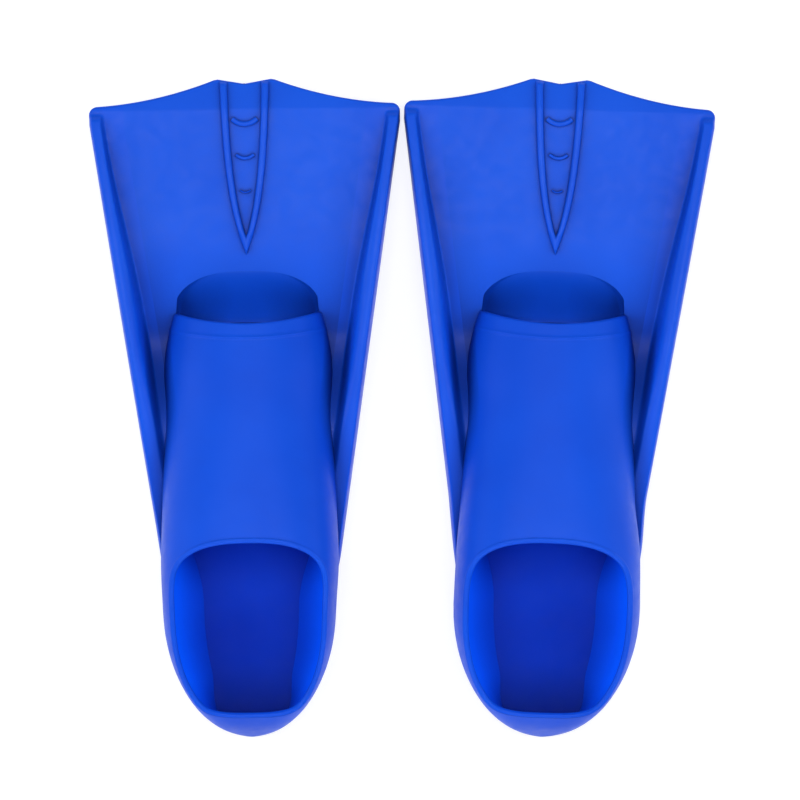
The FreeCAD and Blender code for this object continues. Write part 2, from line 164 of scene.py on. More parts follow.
@dataclass(frozen=True)
class FinForm:
    """The fin's shape as lines and levels, in millimetres."""

    half: float = 94.5
    flare: float = 0.151
    rail_end: float = 373.0
    length: float = 400.0
    corner_radius: float = 5.2
    corner_run: float = 384.0
    tip_sag: float = 3.0
    peak_half: float = 17.0
    valley_run: float = 397.0
    web_thick: float = 3.0
    web_mid: float = 22.0
    web_low_mid: float = 6.5
    web_rise: float = 23.0
    web_rise_start: float = 248.0
    web_rise_end: float = 184.0
    web_below_rail: float = 3.5
    web_sink_start: float = 308.0
    web_sink_end: float = 190.0
    rail_start: float = 96.0
    rail_heel_top: float = 24.0
    rail_climb: float = 3.0
    rail_heel: float = 100.0
    rail_arch: float = 13.0
    rail_arch_middle: float = 236.5
    rail_floor: float = 2.0
    rail_tip_rise: float = 11.0
    rail_rise_start: float = 250.0
    rail_heel_rise: float = 14.0
    rail_heel_taper: float = 48.0
    sole_base: float = 1.0
    sole_top: float = 4.5
    wall: float = 3.0
    pocket_half: float = 55.0
    toe_half: float = 52.4
    heel_centre: float = 80.0
    toe_run: float = 258.0
    toe_corner: float = 6.2
    toe_corner_run: float = 40.0
    toe_corner_power: float = 1.6
    toe_dip: float = 7.0
    arch_power: float = 2.3
    heel_power: float = 4.5
    power_start: float = 210.0
    power_full: float = 80.0
    lean: float = 0.42
    lean_level: float = 46.0
    lean_power: float = 2.1
    lean_start: float = 170.0
    lean_fade: float = 90.0
    lean_tail: float = 12.0
    lean_reach: float = 50.0
    mouth_half: float = 53.5
    mouth_back: float = 13.5
    mouth_front_power: float = 2.6
    mouth_back_power: float = 3.1
    mouth_most: float = 0.97
    mouth_front: float = 121.0
    scoop_start: float = 252.0
    scoop_apex: float = 283.0
    scoop_half: float = 46.2
    scoop_front_power: float = 2.4
    scoop_side_power: float = 2.6
    hinge_run: float = 290.0
    bend_reach: float = 30.0

    def half_width(self, run: np.ndarray) -> np.ndarray:
        """Half-width of the whole fin at a run."""
        return self.half - self.flare * np.clip(self.rail_end - run, 0, None)

    def tip_edge(self, across: np.ndarray) -> np.ndarray:
        """Run of the blade's tip edge at a distance from the centre line."""
        far = np.abs(across)
        shoulder = self.half - self.corner_radius
        share = np.clip((shoulder - far) / (shoulder - self.peak_half), 0, 1)
        hollow = self.corner_run + (self.length - self.corner_run) * share
        hollow = hollow - 4 * self.tip_sag * share * (1 - share)
        notch = self.valley_run + (self.length - self.valley_run) * far / self.peak_half
        out = np.clip(far - shoulder, 0, self.corner_radius)
        corner = self.corner_radius - np.sqrt(self.corner_radius ** 2 - out ** 2)
        return np.where(far < self.peak_half, notch, hollow) - corner

    def web_middle(self, run: np.ndarray) -> np.ndarray:
        """Mid-level of the web: it sinks beside the toes and rises again towards the heel."""
        sink = smooth((self.web_sink_start - run) / (self.web_sink_start - self.web_sink_end))
        close = smooth((self.web_rise_start - run) / (self.web_rise_start - self.web_rise_end))
        level = self.web_mid - (self.web_mid - self.web_low_mid) * sink + self.web_rise * close
        return np.minimum(level, self.rail_top(run) - self.web_below_rail)

    def rail_top(self, run: np.ndarray) -> np.ndarray:
        """Level of the rails' ridge: a long low arch from the heel to the tip."""
        reach = self.rail_arch_middle - self.rail_heel
        arch = self.rail_arch * (1 - ((run - self.rail_arch_middle) / reach) ** 2)
        climb = self.rail_climb * (run - self.rail_heel) / (self.rail_end - self.rail_heel)
        return self.rail_heel_top + climb + arch

    def rail_base(self, run: np.ndarray) -> np.ndarray:
        """Level of the rails' lower edge: flat under the foot, rising to the tip and to the back end."""
        ahead = np.clip((run - self.rail_rise_start) / (self.rail_end - self.rail_rise_start), 0, 1)
        behind = smooth((self.rail_start + self.rail_heel_taper - run) / self.rail_heel_taper)
        return self.rail_floor + self.rail_tip_rise * ahead + self.rail_heel_rise * behind

    def pocket_width(self, run: np.ndarray, inset: np.ndarray | float = 0.0) -> np.ndarray:
        """Half-width of the foot pocket at its base: an elliptic heel, then nearly straight."""
        half = self.pocket_half - inset
        back = self.heel_centre - inset
        behind = np.clip((self.heel_centre - run) / back, 0, 1)
        heel = half * np.sqrt(1 - behind ** 2)
        ahead = (run - self.heel_centre) / (self.scoop_start - self.heel_centre)
        front = half + (self.toe_half - self.pocket_half) * ahead
        turned = np.clip((run - self.toe_run) / self.toe_corner_run + 1, 0, 1)
        corner = self.toe_corner * turned ** self.toe_corner_power
        return np.where(run < self.heel_centre, heel, front - corner)

    def ridge(self, run: np.ndarray) -> np.ndarray:
        """Top line of the pocket in side view, closed over the ankle opening."""
        marks = [(0, 22), (5, 39), (13.5, 55), (32, 68), (66, 80), (98, 81.5), (122, 76.5), (186, 61.5),
                 (258, 44.5)]
        return hermite(marks, run)

    def power(self, run: np.ndarray) -> np.ndarray:
        """Power of the pocket's section: squarer round the heel than over the toes."""
        back = smooth((self.power_start - run) / (self.power_start - self.power_full))
        return self.arch_power + (self.heel_power - self.arch_power) * back

    def pull_in(self, run: np.ndarray, up: np.ndarray) -> np.ndarray:
        """Share of the width left at a level, because the heel's walls lean in to a narrow footbed."""
        low = np.clip(1 - (up - self.sole_top) / (self.lean_level - self.sole_top), 0, 1)
        ahead = smooth((self.lean_start - run) / self.lean_fade)
        behind = smooth((run + self.lean_tail) / self.lean_reach)
        return 1 - self.lean * ahead * behind * low ** self.lean_power

    def mouth_line(self, rows: int) -> tuple[np.ndarray, np.ndarray]:
        """The ankle opening's edge from its back to its front.

        Args:
            rows: number of points on each half of its length.

        Returns:
            Runs and half-widths.
        """
        turn = np.linspace(0, math.pi / 2, rows)
        rise, fall = np.sin(turn), np.cos(turn)
        rise[0], fall[-1] = 0.0, 0.0
        back, front = 2 / self.mouth_back_power, 2 / self.mouth_front_power
        behind = self.heel_centre - (self.heel_centre - self.mouth_back) * fall ** back
        ahead = self.heel_centre + (self.mouth_front - self.heel_centre) * rise[1:] ** front
        half = self.mouth_half * np.concatenate([rise ** back, fall[1:] ** front])
        run = np.concatenate([behind, ahead])
        most = self.mouth_most * self.pocket_width(run)
        return run, half * most / (half ** 8 + most ** 8) ** 0.125

    def scoop_width(self, run: np.ndarray) -> np.ndarray:
        """Half-width of the toe scoop at a run, 0 past its apex."""
        share = np.clip((run - self.scoop_start) / (self.scoop_apex - self.scoop_start), 0, 1)
        return self.scoop_half * (1 - share ** self.scoop_front_power) ** (1 / self.scoop_side_power)

    def arch(self, run: np.ndarray, turn: np.ndarray, inset: np.ndarray | float = 0.0) -> np.ndarray:
        """Points of the pocket's cross-section.

        Args:
            run: runs of the points.
            turn: angle round the arch, 0 at the base and pi/2 at the ridge.
            inset: how far inside the outer face the points lie.

        Returns:
            Points with their X on the positive side.
        """
        power = 2 / self.power(run)
        shift = inset * np.clip(1 - run / 120.0, 0, None)
        place = run + shift
        across = self.pocket_width(place, inset) * np.cos(turn).clip(0) ** power
        top = self.ridge(run) - inset
        up = self.sole_top + (top - self.sole_top) * np.sin(turn).clip(0) ** power
        across = across * self.pull_in(run, up)
        return np.stack(np.broadcast_arrays(across, place, up), axis=-1)

    def wall_at(self, run: np.ndarray, level: np.ndarray) -> np.ndarray:
        """Half-width of the pocket's outer wall at a level."""
        power = self.power(run)
        rise = ((level - self.sole_top) / (self.ridge(run) - self.sole_top)).clip(0, 1)
        return self.pocket_width(run) * (1 - rise ** power) ** (1 / power) * self.pull_in(run, level)


# ---- finishes

@dataclass(frozen=True)
class Silicone:
    """A moulded silicone finish: colour, sheen and the grain of the mould, with painted occlusion shade in
    its hollows and an optional painted glow.
    """

    name: str
    slot: str
    colour: tuple[float, float, float]
    deep: tuple[float, float, float]
    roughness: float = 0.44
    grain_mm: float = 0.55
    grain_depth: float = 0.05
    wave_mm: float = 26.0
    wave_depth: float = 0.35
    specular: float = 0.17
    # Painted shade: how far the ambient-occlusion reading looks, how hard it darkens, and the near-black blue
    # it darkens towards.
    painted_shade_reach_mm: float = 16.0
    painted_shade_power: float = 1.35
    painted_shade_colour: tuple[float, float, float] = (0.0005, 0.004, 0.09)
    handling_mm: float = 7.0
    ior: float = 1.43
    # Painted glow: emission strength and colour standing in for light that comes through thin silicone walls.
    painted_glow: float = 0.0
    painted_glow_colour: tuple[float, float, float] = (0.0, 0.11, 1.0)

    def build(self) -> bpy.types.Material:
        """Makes the material from noise in object coordinates, with painted shade from ambient occlusion and
        an optional painted glow from a point attribute.

        Returns:
            The material.
        """
        material = bpy.data.materials.new(self.name)
        material.use_nodes = True
        tree = material.node_tree
        shader = next(n for n in tree.nodes if n.type == "BSDF_PRINCIPLED")
        fill(shader, Specular_IOR_Level=self.specular, IOR=self.ior)
        link = tree.links.new

        def put(kind: str, **values: object) -> bpy.types.Node:
            """Adds a shader node with its values."""
            return fill(tree.nodes.new("ShaderNode" + kind), **values)

        place = put("TexCoord")

        def noise(size_mm: float, detail: float, rough: float = 0.5) -> bpy.types.Node:
            """A noise of a real size, in object coordinates."""
            node = put("TexNoise", Scale=1.0 / (size_mm * MM), Detail=detail, Roughness=rough)
            link(place.outputs["Object"], node.inputs["Vector"])
            return node

        def ramp(source: bpy.types.Node, low: float, high: float, out_low: float,
                 out_high: float) -> bpy.types.Node:
            """Maps a noise's middle band to a range."""
            node = put("MapRange", From_Min=low, From_Max=high, To_Min=out_low, To_Max=out_high)
            link(source.outputs["Fac"], node.inputs["Value"])
            return node

        cloud = noise(self.wave_mm * 2.4, 3.0)
        mix = put("Mix")
        mix.data_type = "RGBA"
        fill(mix, A=(*self.deep, 1.0), B=(*self.colour, 1.0))
        link(ramp(cloud, 0.32, 0.62, 0.0, 1.0).outputs["Result"], mix.inputs["Factor"])
        # Painted shade: the base colour is darkened towards a near-black blue wherever ambient occlusion
        # finds nearby surfaces, in hollows, creases and gaps.
        painted_occlusion = put("AmbientOcclusion")
        painted_occlusion.samples = 8
        fill(painted_occlusion, Distance=self.painted_shade_reach_mm * MM)
        depth = put("Math")
        depth.operation = "POWER"
        depth.inputs[1].default_value = self.painted_shade_power
        link(painted_occlusion.outputs["AO"], depth.inputs[0])
        shade = put("Mix")
        shade.data_type = "RGBA"
        fill(shade, A=(*self.painted_shade_colour, 1.0))
        link(depth.outputs[0], shade.inputs["Factor"])
        link(mix.outputs["Result"], shade.inputs["B"])
        link(shade.outputs["Result"], shader.inputs["Base Color"])
        # Painted glow: emission scaled by the per-point glow share lights the pocket's inner walls, standing
        # in for light passing through the thin silicone.
        if self.painted_glow:
            glow_share = put("Attribute")
            glow_share.attribute_name = "painted_glow_share"
            glow_strength = put("Math")
            glow_strength.operation = "MULTIPLY"
            glow_strength.inputs[1].default_value = self.painted_glow
            link(glow_share.outputs["Fac"], glow_strength.inputs[0])
            link(glow_strength.outputs[0], shader.inputs["Emission Strength"])
            fill(shader, Emission_Color=(*self.painted_glow_colour, 1.0))
        handling = noise(self.handling_mm, 6.0, 0.62)
        sheen = ramp(handling, 0.35, 0.7, self.roughness - 0.05, self.roughness + 0.08)
        link(sheen.outputs["Result"], shader.inputs["Roughness"])
        fine = put("Bump", Strength=0.35, Distance=self.grain_depth * MM)
        link(noise(self.grain_mm, 3.0).outputs["Fac"], fine.inputs["Height"])
        broad = put("Bump", Strength=0.5, Distance=self.wave_depth * MM)
        link(noise(self.wave_mm, 1.0).outputs["Fac"], broad.inputs["Height"])
        link(broad.outputs["Normal"], fine.inputs["Normal"])
        link(fine.outputs["Normal"], shader.inputs["Normal"])
        return material


# Each finish carries painted occlusion shade; the reaches set below make it darken wider hollows.
FINISHES = {
    # The pocket's inner walls carry a painted glow for light coming through the thin silicone.
    "pocket": Silicone("pocket_silicone", "pocket_silicone", (0.004, 0.086, 0.76), (0.003, 0.074, 0.70),
                       painted_glow=0.5),
    "blade": Silicone("blade_silicone", "blade_silicone", (0.005, 0.098, 0.79), (0.004, 0.086, 0.74),
                      painted_shade_reach_mm=30.0, painted_shade_power=1.6),
    # Painted shade: the scoop is a darker copy of the blade's silicone with a longer occlusion reach,
    # standing for the shade under the toe rim.
    "scoop": Silicone("scoop_shaded_silicone", "blade_silicone", (0.004, 0.082, 0.72), (0.003, 0.072, 0.67),
                      painted_shade_reach_mm=34.0, painted_shade_power=1.7),
    "rail": Silicone("rail_silicone", "rail_silicone", (0.005, 0.094, 0.79), (0.004, 0.082, 0.73),
                     roughness=0.40),
    # Painted shade: the sole's darker colour and long occlusion reach stand for the shade deep inside the
    # pocket.
    "sole": Silicone("sole_silicone", "sole_silicone", (0.002, 0.055, 0.57), (0.001, 0.045, 0.51),
                     roughness=0.56, grain_mm=0.8, grain_depth=0.09, specular=0.10, painted_shade_reach_mm=42.0),
}


# ---- meshes

class Skin:
    """Two matched surfaces, outside and inside, that zones of the moulding are cut from."""

    def __init__(self, outside: np.ndarray, inside: np.ndarray, quads: np.ndarray,
                 glow_share: np.ndarray | None = None) -> None:
        """Welds the two surfaces and works out smooth normals over the whole of them.

        Args:
            outside: points of the outer face, in the fin's frame.
            inside: the matching points of the inner face.
            quads: faces of the outer surface, anticlockwise from outside.
            glow_share: how strongly each inner point shows the painted glow that stands in for light through
                the thin wall, or None.
        """
        count = len(outside)
        both = np.vstack([outside, inside])
        _, first, back = np.unique(np.round(both, 4), axis=0, return_index=True, return_inverse=True)
        self.points = both[first]
        back = back.reshape(-1)
        self.out_index = back[:count]
        self.in_index = back[count:]
        self.quads = quads
        self.glow_share = None if glow_share is None else np.concatenate([0 * glow_share, glow_share])[first]
        self.normals = self._vertex_normals()

    def _vertex_normals(self) -> np.ndarray:
        """Area-weighted normals of both faces, without any side walls."""
        faces = np.vstack([self.out_index[self.quads], self.in_index[self.quads][:, ::-1]])
        a, b, c, d = (self.points[faces[:, k]] for k in range(4))
        normal = np.cross(c - a, d - b)
        total = np.zeros_like(self.points)
        for k in range(4):
            np.add.at(total, faces[:, k], normal)
        length = np.linalg.norm(total, axis=1, keepdims=True)
        return total / np.where(length > 0, length, 1)

    def piece(self, name: str, place: FinPlace, mask: np.ndarray | None = None) -> bpy.types.Object:
        """Cuts one zone out as a closed solid with its own name.

        Args:
            name: the piece's name.
            place: where the fin lies.
            mask: which quads belong to the zone, or None for all of them.

        Returns:
            The new object.
        """
        chosen = self.quads if mask is None else self.quads[mask]
        edges = np.vstack([chosen[:, [k, (k + 1) % 4]] for k in range(4)])
        outer_edges = self.out_index[edges]
        distinct = outer_edges[:, 0] != outer_edges[:, 1]
        edges, outer_edges = edges[distinct], outer_edges[distinct]
        size = len(self.points)
        code = outer_edges[:, 0].astype(np.int64) * size + outer_edges[:, 1]
        reverse = outer_edges[:, 1].astype(np.int64) * size + outer_edges[:, 0]
        border = ~np.isin(code, reverse)
        faces, smooth_flags = [], []

        def add(corners: np.ndarray, step: int, rounded: bool) -> None:
            """Adds a face without its doubled corners, unless too few are left."""
            ring = [int(v) for k, v in enumerate(corners) if v != corners[k - 1]]
            if len(set(ring)) >= 3:
                faces.append(ring[::step])
                smooth_flags.append(rounded)

        for index, step in ((self.out_index, 1), (self.in_index, -1)):
            for quad in index[chosen]:
                add(quad, step, True)
        for a, b in edges[border]:
            add([self.out_index[b], self.out_index[a], self.in_index[a], self.in_index[b]], 1, False)
        used = np.unique(np.concatenate([np.array(f) for f in faces]))
        lookup = np.full(size, -1)
        lookup[used] = np.arange(len(used))
        mesh = bpy.data.meshes.new(name)
        mesh.from_pydata(place.to_row(self.points[used]).tolist(), [], [lookup[f].tolist() for f in faces])
        mesh.update()
        mesh.polygons.foreach_set("use_smooth", [True] * len(faces))
        normals = place.turned(self.normals)
        loops = []
        for face, rounded, polygon in zip(faces, smooth_flags, mesh.polygons):
            if rounded:
                loops.extend(normals[v].tolist() for v in face)
            else:
                loops.extend([tuple(polygon.normal)] * len(face))
        mesh.normals_split_custom_set(loops)
        # Painted glow share per point, read by the pocket's finish as emission.
        if self.glow_share is not None:
            mesh.attributes.new("painted_glow_share", "FLOAT", "POINT").data.foreach_set("value", self.glow_share[used])
        thing = bpy.data.objects.new(name, mesh)
        bpy.context.scene.collection.objects.link(thing)
        return thing


def grid_quads(rows: int, columns: int, start: int = 0, mirrored: bool = False) -> np.ndarray:
    """Quads of a grid whose normal is column direction times row direction.

    Args:
        rows: number of rows of points.
        columns: number of columns of points.
        start: index of the grid's first point.
        mirrored: whether the grid is a mirror image, so its faces are turned round.

    Returns:
        An array of four point indices a face.
    """
    r, c = np.meshgrid(np.arange(rows - 1), np.arange(columns - 1), indexing="ij")
    corner = (start + r * columns + c).reshape(-1)
    quads = np.stack([corner, corner + 1, corner + columns + 1, corner + columns], axis=1)
    return quads[:, ::-1] if mirrored else quads


def both_halves(outside: np.ndarray, inside: np.ndarray) -> tuple[np.ndarray, np.ndarray, np.ndarray]:
    """Joins a half grid, drawn on the negative side, with its mirror image.

    Args:
        outside: points of the outer face, rows by columns.
        inside: points of the inner face.

    Returns:
        Outer points, inner points and the quads of both halves.
    """
    rows, columns = outside.shape[:2]
    flip = np.array([-1, 1, 1])
    count = rows * columns
    outer = np.vstack([outside.reshape(-1, 3), (outside * flip).reshape(-1, 3)])
    inner = np.vstack([inside.reshape(-1, 3), (inside * flip).reshape(-1, 3)])
    quads = np.vstack([grid_quads(rows, columns), grid_quads(rows, columns, count, True)])
    return outer, inner, quads


class NodeTree:
    """A Geometry Nodes tree being built, with named inputs."""

    def __init__(self, name: str, sizes: dict[str, float], material: bpy.types.Material) -> None:
        """Starts a tree.

        Args:
            name: the tree's name.
            sizes: its number inputs and their values.
            material: the finish set at its end.
        """
        self.tree = bpy.data.node_groups.new(name, "GeometryNodeTree")
        face = self.tree.interface
        face.new_socket("Geometry", in_out="INPUT", socket_type="NodeSocketGeometry")
        face.new_socket("Geometry", in_out="OUTPUT", socket_type="NodeSocketGeometry")
        self.values = {}
        for label, value in sizes.items():
            socket = face.new_socket(label, in_out="INPUT", socket_type="NodeSocketFloat")
            self.values[socket.identifier] = value
        self.inlet = self.tree.nodes.new("NodeGroupInput")
        self.outlet = self.tree.nodes.new("NodeGroupOutput")
        self.material = material

    def node(self, kind: str, settings: dict | None = None, **wires: object) -> bpy.types.Node:
        """Adds a node.

        Args:
            kind: node type without its common prefix.
            settings: node properties.
            wires: inputs by socket name with _ for a space, as a socket or a value.

        Returns:
            The node.
        """
        prefix = "ShaderNode" if kind in ("Math", "CombineXYZ", "SeparateXYZ") else "GeometryNode"
        new = self.tree.nodes.new(prefix + kind)
        for key, value in (settings or {}).items():
            setattr(new, key, value)
        for key, value in wires.items():
            numbered = key[0] == "i" and key[1:].isdigit()
            socket = new.inputs[int(key[1:]) if numbered else key.replace("_", " ")]
            if isinstance(value, bpy.types.NodeSocket):
                self.tree.links.new(value, socket)
            else:
                socket.default_value = value
        return new

    def size(self, label: str) -> bpy.types.NodeSocket:
        """The socket of a named input."""
        return self.inlet.outputs[label]

    def math(self, operation: str, first: object, second: object = 0.0) -> bpy.types.NodeSocket:
        """A math node's result."""
        return self.node("Math", {"operation": operation}, i0=first, i1=second).outputs[0]

    def finish(self, geometry: bpy.types.NodeSocket) -> None:
        """Ends the tree: instances are made real and the finish is set."""
        real = self.node("RealizeInstances", None, Geometry=geometry)
        dressed = self.node("SetMaterial", None, Geometry=real.outputs[0], Material=self.material)
        self.tree.links.new(dressed.outputs[0], self.outlet.inputs[0])

    def grow(self, name: str, seed: bpy.types.Mesh, place: FinPlace) -> bpy.types.Object:
        """Evaluates the tree on a seed mesh and keeps the result as plain mesh.

        Args:
            name: the new piece's name.
            seed: the mesh that the tree starts from.
            place: where the fin lies.

        Returns:
            The finished piece.
        """
        thing = bpy.data.objects.new(name, seed)
        bpy.context.scene.collection.objects.link(thing)
        modifier = thing.modifiers.new(name, "NODES")
        modifier.node_group = self.tree
        for identifier, value in self.values.items():
            modifier[identifier] = value
        graph = bpy.context.evaluated_depsgraph_get()
        result = bpy.data.meshes.new_from_object(thing.evaluated_get(graph))
        thing.modifiers.remove(modifier)
        thing.data = result
        count = len(result.vertices)
        points = np.zeros(count * 3)
        result.vertices.foreach_get("co", points)
        result.vertices.foreach_set("co", place.to_row(points.reshape(-1, 3)).reshape(-1))
        result.update()
        return thing


# ---- sub-assemblies

@dataclass
class SubAssembly:
    """A group of pieces of one fin: its side, form, place and materials."""

    side: Side
    form: FinForm
    place: FinPlace
    materials: dict[str, bpy.types.Material]

    @property
    def prefix(self) -> str:
        """The start of the names of this fin's pieces and nodes."""
        return self.side.value + "_"

    def dress(self, thing: bpy.types.Object, finish: str, nodes: list[str], bends: bool) -> None:
        """Gives a piece its finish and hides the CAD nodes it stands for; a piece that crosses the hinge has
        its place baked into its mesh, any other is tied to the foot's body.

        Args:
            thing: the piece.
            finish: key of the finish.
            nodes: CAD nodes without the fin's prefix.
            bends: whether the piece crosses the blade's hinge.
        """
        thing.data.materials.clear()
        thing.data.materials.append(self.materials[finish])
        foot, blade = self.prefix + "foot", self.prefix + "blade"
        if bends:
            ends = [
                self.place.to_row(np.array([[0.0, self.form.hinge_run + reach, 0.0]]))[0]
                for reach in (-self.form.bend_reach, self.form.bend_reach)
            ]
            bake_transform(thing)
        else:
            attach(thing, foot)
        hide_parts(*[self.prefix + node for node in nodes])
        log.info("%s: %d faces", thing.name, len(thing.data.polygons))


@dataclass
class BladeSkin(SubAssembly):
    """The web and its two edge rails, one sheet from beside the heel to the tip."""

    edge_in: float = 2.2
    crown_in: float = 4.4
    crown_drop: float = 0.12
    ridge_width: float = 7.0
    ridge_widening: float = 2.6
    flank: float = 2.6
    flank_widening: float = 2.6
    rail_end: float = 379.5
    rail_fade: float = 4.5
    rail_columns: int = 42
    web_columns: int = 34
    edge_round: float = 1.4
    in_wall: float = 1.5
    rail_zone: float = 21.0
    rail_crowding: float = 1.4
    warp_start: float = 335.0

    def levels(self, points: np.ndarray) -> tuple[np.ndarray, np.ndarray]:
        """Top and bottom levels of the sheet at places in plan.

        Args:
            points: an array of (across, run).

        Returns:
            The two levels.
        """
        form = self.form
        across, run = points[..., 0], points[..., 1]
        depth_in = np.clip(form.half_width(run) - np.abs(across), 0, None)
        middle = form.web_middle(run)
        web_top, web_base = middle + form.web_thick / 2, middle - form.web_thick / 2
        full = smooth((self.rail_end - run) / self.rail_fade)
        rise = (form.rail_top(run) - web_top) * full
        drop = (web_base - form.rail_base(run)) * full
        near_toe = smooth((360.0 - run) / 100.0)
        flat_end = self.ridge_width + self.ridge_widening * near_toe
        foot_end = flat_end + self.flank + self.flank_widening * near_toe
        edge = (web_top + rise + web_base - drop) / 2
        out = 1 - np.clip(depth_in / self.edge_in, 0, 1)
        outer = (1 - out ** 2.2) ** 0.6
        crown = 1 - self.crown_drop * ((depth_in - self.crown_in) / self.crown_in) ** 2
        fall = 1 - smooth(np.clip((depth_in - flat_end) / (foot_end - flat_end), 0, 1) ** 0.8)

        def face(level: np.ndarray, height: np.ndarray) -> np.ndarray:
            """One face's level: outer edge, crowned ridge, then the flank down to the web."""
            shoulder = 1 - self.crown_drop * ((flat_end - self.crown_in) / self.crown_in) ** 2
            body = level + height * np.where(depth_in < flat_end, crown, shoulder * fall)
            return np.where(depth_in < self.edge_in, edge + (body - edge) * outer, body)

        top, base = face(web_top, rise), face(web_base, -drop)
        tip = np.clip((form.tip_edge(across) - run) / self.edge_round, 0, 1)
        closing = np.sqrt(1 - (1 - tip) ** 2)
        centre = (top + base) / 2
        return centre + (top - centre) * closing, centre + (base - centre) * closing

    def rows(self) -> np.ndarray:
        """Nominal runs of the sheet's rows, closer together where it turns."""
        form = self.form
        beside = np.arange(form.rail_start, form.scoop_start, 2.2)
        turn = np.linspace(0, math.pi / 2, 26)
        round_scoop = form.scoop_start + (form.scoop_apex - form.scoop_start) * np.sin(turn)
        ahead = np.linspace(form.scoop_apex, form.length, 96)[1:-2]
        left = form.length - ahead[-1]
        edge = form.length - left * (1 - np.sin(np.linspace(0, math.pi / 2, 12)))[1:]
        return np.concatenate([beside, round_scoop, ahead, edge])

    def inner_line(self, run: np.ndarray) -> np.ndarray:
        """Where the sheet ends towards the centre: in the pocket's wall, at the scoop, or at 0."""
        form = self.form
        wall = form.wall_at(run, form.web_middle(run)) - self.in_wall
        scoop = form.scoop_width(run)
        return np.where(run < form.scoop_start, wall, np.minimum(scoop, wall))

    def outside_pocket(self, plan: np.ndarray, level: np.ndarray) -> np.ndarray:
        """Keeps the sheet's points out of the foot's space, ending them within the pocket's wall.

        Args:
            plan: an array of (across, run) on the negative side.
            level: the points' levels.

        Returns:
            The plan, moved outwards where it has to be.
        """
        run = plan[..., 1]
        limit = np.where(run < self.form.scoop_start, self.form.wall_at(run, level) - self.in_wall, 0.0)
        return np.stack([np.minimum(plan[..., 0], -limit), run], axis=-1)

    def build(self) -> None:
        """Makes the web and the two rails."""
        form = self.form
        runs = self.rows()[:, None]
        half = form.half_width(runs)
        inner = self.inner_line(runs)
        deep = np.minimum(self.rail_zone, half - inner - 1.0)
        share = np.linspace(0, 1, self.rail_columns)[None, :]
        depth_in = deep * share ** self.rail_crowding
        web_share = np.linspace(0, 1, self.web_columns + 1)[None, 1:]
        web_in = deep + (half - inner - deep) * web_share
        depth_in = np.hstack([depth_in, web_in])
        nominal = half - depth_in
        warp = np.clip((runs - self.warp_start) / (form.length - self.warp_start), 0, 1) ** 2
        true_run = runs + (form.tip_edge(nominal) - form.length) * warp
        across = np.clip(form.half_width(true_run) - depth_in, 0, None)
        across = np.where(inner <= 0, across * (np.arange(across.shape[1]) < across.shape[1] - 1), across)
        plan = np.stack([-across, true_run], axis=-1)
        top, base = self.levels(plan)
        outside = np.concatenate([self.outside_pocket(plan, top), top[..., None]], axis=-1)
        inside = np.concatenate([self.outside_pocket(plan, base), base[..., None]], axis=-1)
        outer, under, quads = both_halves(outside, inside)
        skin = Skin(outer, under, quads)
        rows, columns = outside.shape[:2]
        column = np.tile(np.arange(columns - 1), rows - 1)
        is_rail = np.concatenate([column, column]) < self.rail_columns - 1
        is_left = np.arange(len(quads)) < len(quads) // 2
        for sign, mask in ((-1, is_left), (1, ~is_left)):
            edge = self.side.edge(sign)
            rail = skin.piece(f"{self.prefix}{edge}_edge_rail", self.place, is_rail & mask)
            self.dress(rail, "rail", [f"{edge}_{part}_rail" for part in ("foot", "flex", "blade")], True)
        web = skin.piece(self.prefix + "blade_skin", self.place, ~is_rail)
        self.dress(web, "blade", ["blade_web", "flex_web", "outer_side_web", "inner_side_web"], True)


